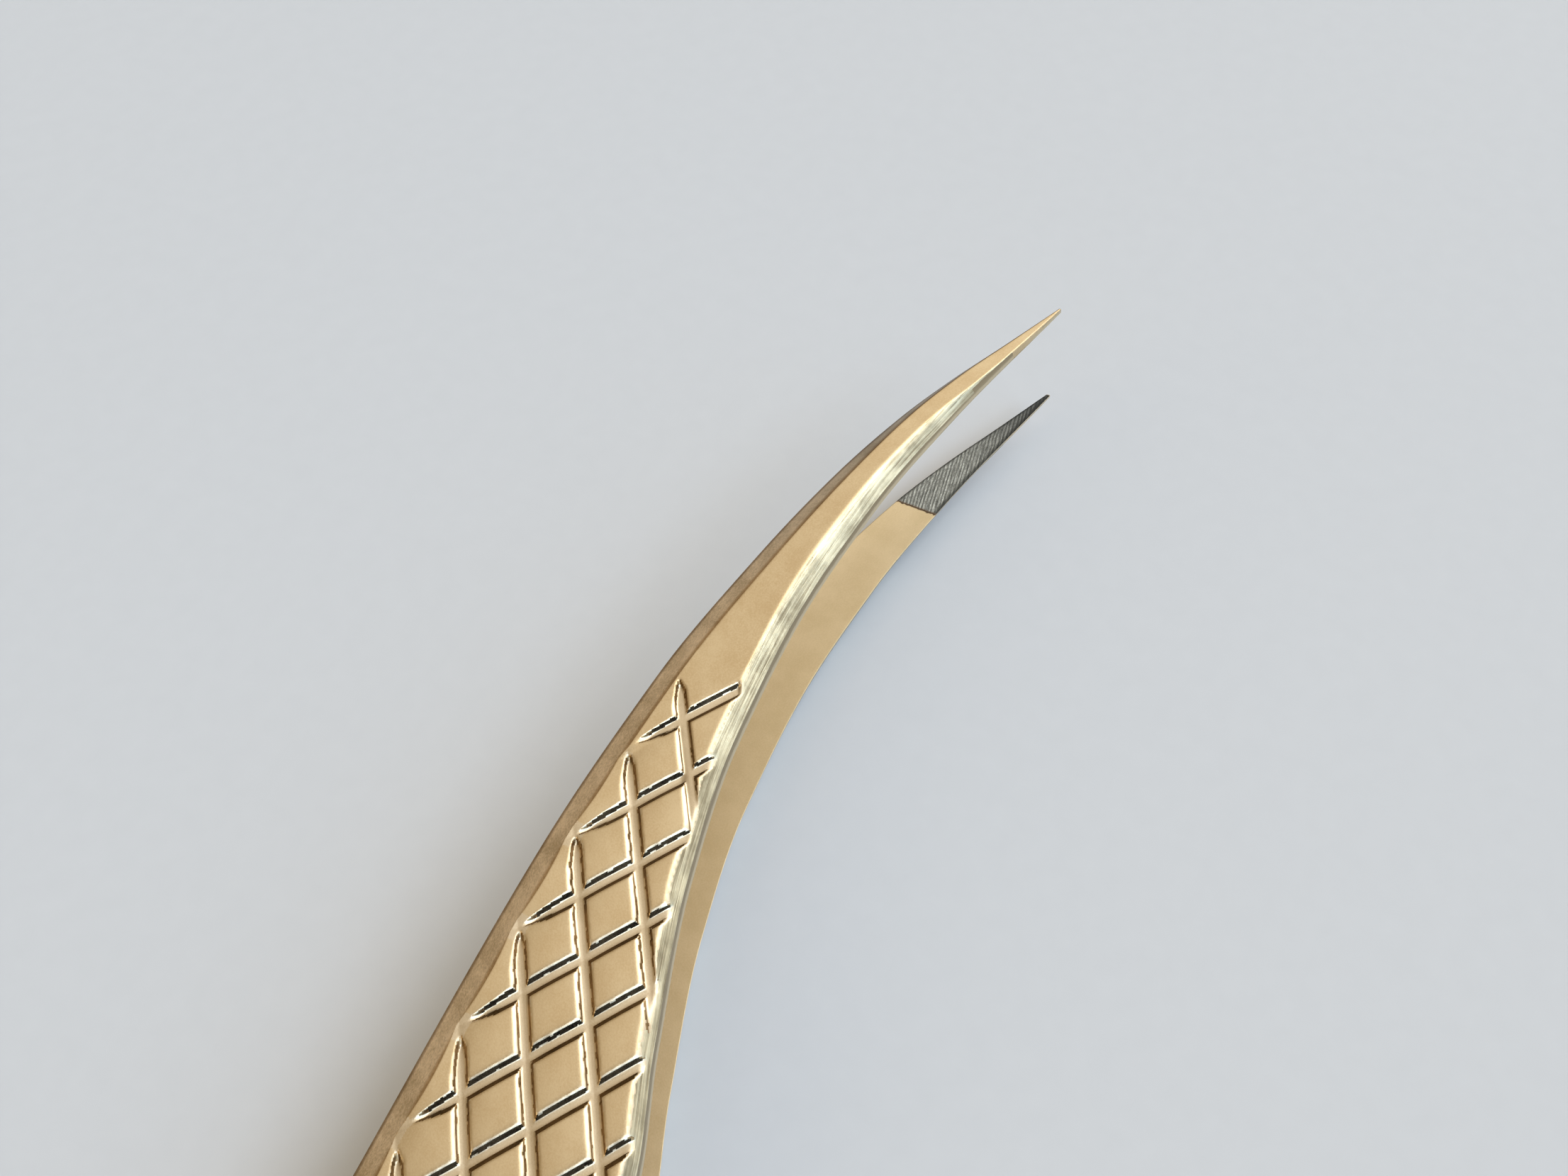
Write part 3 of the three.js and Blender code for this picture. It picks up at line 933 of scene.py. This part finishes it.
def coating_material():
    """Dark grit in fine stripes, darker along its edges and towards the tip, with a brown rear edge."""
    material, tree, shader = new_material("tip_grit", metallic=0.35)
    specks = noise(tree, strip_place(tree, (9, 14, 14)), 1.0, 5.0, 0.7)
    lines = noise(tree, strip_place(tree, (1.2, 16, 4)), 1.0, 4.0, 0.6)
    tone = ramp(
        tree, mean(tree, specks, lines),
        (0.38, (0.10, 0.10, 0.088)), (0.5, (0.28, 0.28, 0.25)), (0.62, (0.56, 0.56, 0.51)),
    )
    place = split(tree, strip_place(tree))
    rim = ramp(
        tree, place["Z"],
        (0.0, (0.1, 0.1, 0.09)), (0.1, (0.32, 0.32, 0.3)), (0.24, (1.0, 1.0, 1.0)),
    )
    waves = node(tree, "ShaderNodeTexWave", bands_direction="Y", Scale=1.0, Distortion=2.6, Detail=4.0)
    waves.inputs["Detail Scale"].default_value = 2.0
    # A wave texture has a band every pi / 10
    per_mm = math.pi / 10 / COATING_PITCH
    tree.links.new(strip_place(tree, (0.3, per_mm, 0)), waves.inputs["Vector"])
    stripes = ramp(tree, waves.outputs["Fac"], (0.1, (0.5, 0.5, 0.48)), (0.8, (1.15, 1.15, 1.12)))
    striped = multiplied(tree, multiplied(tree, tone, rim), stripes)
    brightness = mapped(tree, place["X"], 1.0, 6.5, 0.3, 1.0, "SMOOTHSTEP")
    rear = node(tree, "ShaderNodeMix", data_type="RGBA", blend_type="MIX")
    rear.inputs["B"].default_value = (0.14, 0.085, 0.045, 1)
    share = mapped(tree, place["X"], COATING_LENGTH - 0.12, COATING_LENGTH - 0.03)
    tree.links.new(share, rear.inputs["Factor"])
    tree.links.new(scaled_colour(tree, striped, brightness), rear.inputs["A"])
    tree.links.new(rear.outputs["Result"], shader.inputs["Base Color"])
    tree.links.new(spread(tree, specks, 0.5, 0.75), shader.inputs["Roughness"])
    raise_surface(tree, shader, specks, 0.02)
    return material


def floor_material():
    """Pale card with faint fibres."""
    material, tree, shader = new_material("pale_card", metallic=0.0)
    place = node(tree, "ShaderNodeTexCoord")
    fibres = node(tree, "ShaderNodeTexNoise", Scale=900.0, Detail=4.0)
    tree.links.new(place.outputs["Object"], fibres.inputs["Vector"])
    tone = ramp(tree, fibres.outputs["Fac"], (0.3, (0.526, 0.544, 0.565)), (0.7, (0.536, 0.554, 0.575)))
    tree.links.new(tone, shader.inputs["Base Color"])
    shader.inputs["Roughness"].default_value = 0.75
    shader.inputs["Specular IOR Level"].default_value = 0.2
    return material


# ---- Stage, light and camera ----

# In metres
FLOOR_HALF = 0.9
FLOOR_DROP = 0.00001


def make_floor():
    half = FLOOR_HALF
    corners = [(-half, -half, 0), (half, -half, 0), (half, half, 0), (-half, half, 0)]
    floor = make_object("floor", corners, [(0, 1, 2, 3)])
    floor.location.z = -FLOOR_DROP
    floor.data.materials.append(floor_material())


def lobe(tree, direction, towards, inner, outer):
    """1 within inner degrees of a direction, falling smoothly to 0 at outer degrees."""
    dot = node(tree, "ShaderNodeVectorMath", operation="DOT_PRODUCT")
    dot.inputs[1].default_value = Vector(towards).normalized()
    tree.links.new(direction, dot.inputs[0])
    start, end = math.cos(math.radians(outer)), math.cos(math.radians(inner))
    return mapped(tree, dot.outputs["Value"], start, end, step="SMOOTHSTEP")


# Warm light all round, and soft lights: (towards, inner degrees, outer degrees, brightness, colour)
ROUND_COLOUR = (0.41, 0.33, 0.225)
LIGHTS = [
    ((0.53, 0.1, 0.83), 16, 42, 0.30, (0.99, 0.99, 0.97)),
    ((0.80, 0.13, 0.58), 8, 24, 0.35, (0.99, 0.99, 0.97)),
    ((0.12, 0.27, 0.95), 8, 24, 0.3, (0.99, 0.99, 0.97)),
    ((0.58, -0.28, 0.76), 5, 18, 4.2, (0.97, 0.99, 1.0)),
    ((0.87, -0.25, 0.42), 8, 20, 5.0, (0.97, 0.99, 1.0)),
    ((-0.08, -0.62, 0.78), 8, 18, 6.0, (0.83, 0.98, 1.17)),
    ((-0.1, -0.85, 0.5), 8, 24, 2.6, (0.5, 0.95, 1.5)),
    ((0.5, -0.76, 0.42), 12, 30, 0.45, (0.97, 0.99, 1.0)),
    ((-0.85, 0.4, 0.35), 10, 26, 2.4, (1.25, 0.93, 0.5)),
]
# A dark stretch of the surroundings: (towards, inner degrees, outer degrees, strength)
SHADE = ((-0.85, -0.35, -0.1), 36, 66, 0.95)
# What is seen past the floor's edge, in place of the lights
BACKDROP = (0.62, 0.64, 0.66)


def make_world():
    world = bpy.data.worlds.new("studio")
    bpy.context.scene.world = world
    world.use_nodes = True
    tree = world.node_tree
    direction = node(tree, "ShaderNodeTexCoord").outputs["Generated"]
    total = None
    for towards, inner, outer, brightness, colour in LIGHTS:
        lit = node(tree, "ShaderNodeVectorMath", operation="MULTIPLY_ADD")
        lit.inputs[1].default_value = [brightness * part for part in colour]
        lit.inputs[2].default_value = ROUND_COLOUR
        tree.links.new(lobe(tree, direction, towards, inner, outer), lit.inputs[0])
        if total:
            tree.links.new(total, lit.inputs[2])
        total = lit.outputs["Vector"]
    towards, inner, outer, strength = SHADE
    shade = node(tree, "ShaderNodeMath", operation="MULTIPLY_ADD")
    shade.inputs[1].default_value = -strength
    shade.inputs[2].default_value = 1.0
    tree.links.new(lobe(tree, direction, towards, inner, outer), shade.inputs[0])
    lights = tree.nodes["Background"]
    tree.links.new(total, lights.inputs["Color"])
    tree.links.new(shade.outputs[0], lights.inputs["Strength"])
    backdrop = tree.nodes.new("ShaderNodeBackground")
    backdrop.inputs["Color"].default_value = (*BACKDROP, 1)
    seen = tree.nodes.new("ShaderNodeLightPath")
    shown = tree.nodes.new("ShaderNodeMixShader")
    tree.links.new(seen.outputs["Is Camera Ray"], shown.inputs["Fac"])
    tree.links.new(lights.outputs["Background"], shown.inputs[1])
    tree.links.new(backdrop.outputs["Background"], shown.inputs[2])
    tree.links.new(shown.outputs["Shader"], tree.nodes["World Output"].inputs["Surface"])


# Place and directions in the tweezers' frame, in mm
CAMERA_PLACE = (5.1029, -17.8170, 60.6978)
CAMERA_FORWARD = (0.50637, 0.28204, -0.81489)
CAMERA_RIGHT = (0.44237, -0.89614, -0.03527)
CAMERA_LENS = 40.387
CAMERA_SENSOR = 36.0


def make_camera():
    data = bpy.data.cameras.new("camera")
    data.lens = CAMERA_LENS
    data.sensor_width = CAMERA_SENSOR
    data.clip_start = 0.002
    data.clip_end = 20.0
    camera = bpy.data.objects.new("camera", data)
    bpy.context.scene.collection.objects.link(camera)
    right = Vector(turned(CAMERA_RIGHT)).normalized()
    backward = -Vector(turned(CAMERA_FORWARD)).normalized()
    up = backward.cross(right)
    matrix = Matrix((right, up, backward)).transposed().to_4x4()
    matrix.translation = Vector(laid([CAMERA_PLACE])[0])
    camera.matrix_world = matrix
    bpy.context.scene.camera = camera


# ---- Assembly ----

make_camera()
make_floor()
make_world()
bpy.context.scene.view_settings.view_transform = "Standard"

GOLD = metal(
    "satin_gold", (0.64, 0.49, 0.29), (0.735, 0.595, 0.38),
    rough=(0.28, 0.38), streaks=(14, 14, 14), bump=0.0015, edge=0.09,
)
INNER_GOLD = metal(
    "satin_inner", (0.66, 0.535, 0.33), (0.74, 0.61, 0.40),
    rough=(0.42, 0.52), streaks=(14, 14, 14), bump=0.0015,
)
FAR_GOLD = metal(
    "brown_gold_edge", (0.50, 0.385, 0.24), (0.80, 0.65, 0.46),
    rough=(0.30, 0.46), streaks=(10, 16, 16), bump=0.006,
)
# The convex bevel carries painted shade along its edges and towards the tip
paint_bevel_shade(FAR_GOLD)
GROUND = metal(
    "ground_edge", (0.36, 0.32, 0.22), (0.84, 0.78, 0.56),
    rough=(0.24, 0.42), streaks=(0.3, 11, 11), bump=0.016, edge=0.09,
)
CUT = metal(
    "cut_groove", (0.66, 0.545, 0.37), (0.78, 0.66, 0.48),
    rough=(0.32, 0.5), streaks=(20, 20, 20), bump=0.003,
)
# Groove walls: painted shade, brown on most walls, near black on walls that face the tail and dark brown on
# walls that lean to the tips
WALL_SHADE = metal(
    "groove_wall_painted_shade", (0.17, 0.105, 0.045), (0.42, 0.28, 0.14),
    rough=(0.34, 0.5), streaks=(9, 9, 9), bump=0.006, edge=0.01,
)
TAIL_WALL_SHADE = metal(
    "groove_tail_wall_painted_shade", (0.012, 0.010, 0.008), (0.10, 0.075, 0.045),
    rough=(0.5, 0.7), streaks=(7, 16, 16), bump=0.01, edge=0.01,
)
TIP_WALL_SHADE = metal(
    "groove_tip_wall_painted_shade", (0.07, 0.036, 0.008), (0.20, 0.115, 0.04),
    rough=(0.4, 0.6), streaks=(9, 16, 16), bump=0.008, edge=0.01,
)
# The sides carry painted shade in a dark band under the bevels
SIDE_PAINTED_SHADE = side_shade_material()
GRIT = coating_material()
BEAD = metal(
    "weld_gold", (0.50, 0.38, 0.22), (0.66, 0.52, 0.32),
    rough=(0.32, 0.5), streaks=(6, 6, 6), bump=0.01,
)
# In the order of the regions' numbers
ARM_MATERIALS = (GOLD, GROUND, CUT, INNER_GOLD, SIDE_PAINTED_SHADE, FAR_GOLD, WALL_SHADE, TAIL_WALL_SHADE, TIP_WALL_SHADE)

arm_mesh = cut_arm()
arm_region = regions_of(arm_mesh)
mark_sharp(arm_mesh, arm_region)

for side, flip in (("upper", False), ("lower", True)):
    arm = finish_arm(f"{side}_arm_strip", arm_mesh, arm_region, flip)
    for material in ARM_MATERIALS:
        arm.data.materials.append(material)
    spine = -half_gap(FLEX_BACK) if flip else half_gap(FLEX_BACK)
    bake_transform(arm)
    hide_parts(f"{side}_arm", f"{side}_arm_root")
    shell = coating(f"{side}_tip_grit", flip)
    shell.data.materials.append(GRIT)
    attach(shell, f"{side}_arm")
    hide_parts(f"{side}_tip_coating")

bead = weld_bead()
bead.data.materials.append(BEAD)
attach(bead, "tail")
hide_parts("tail_weld")
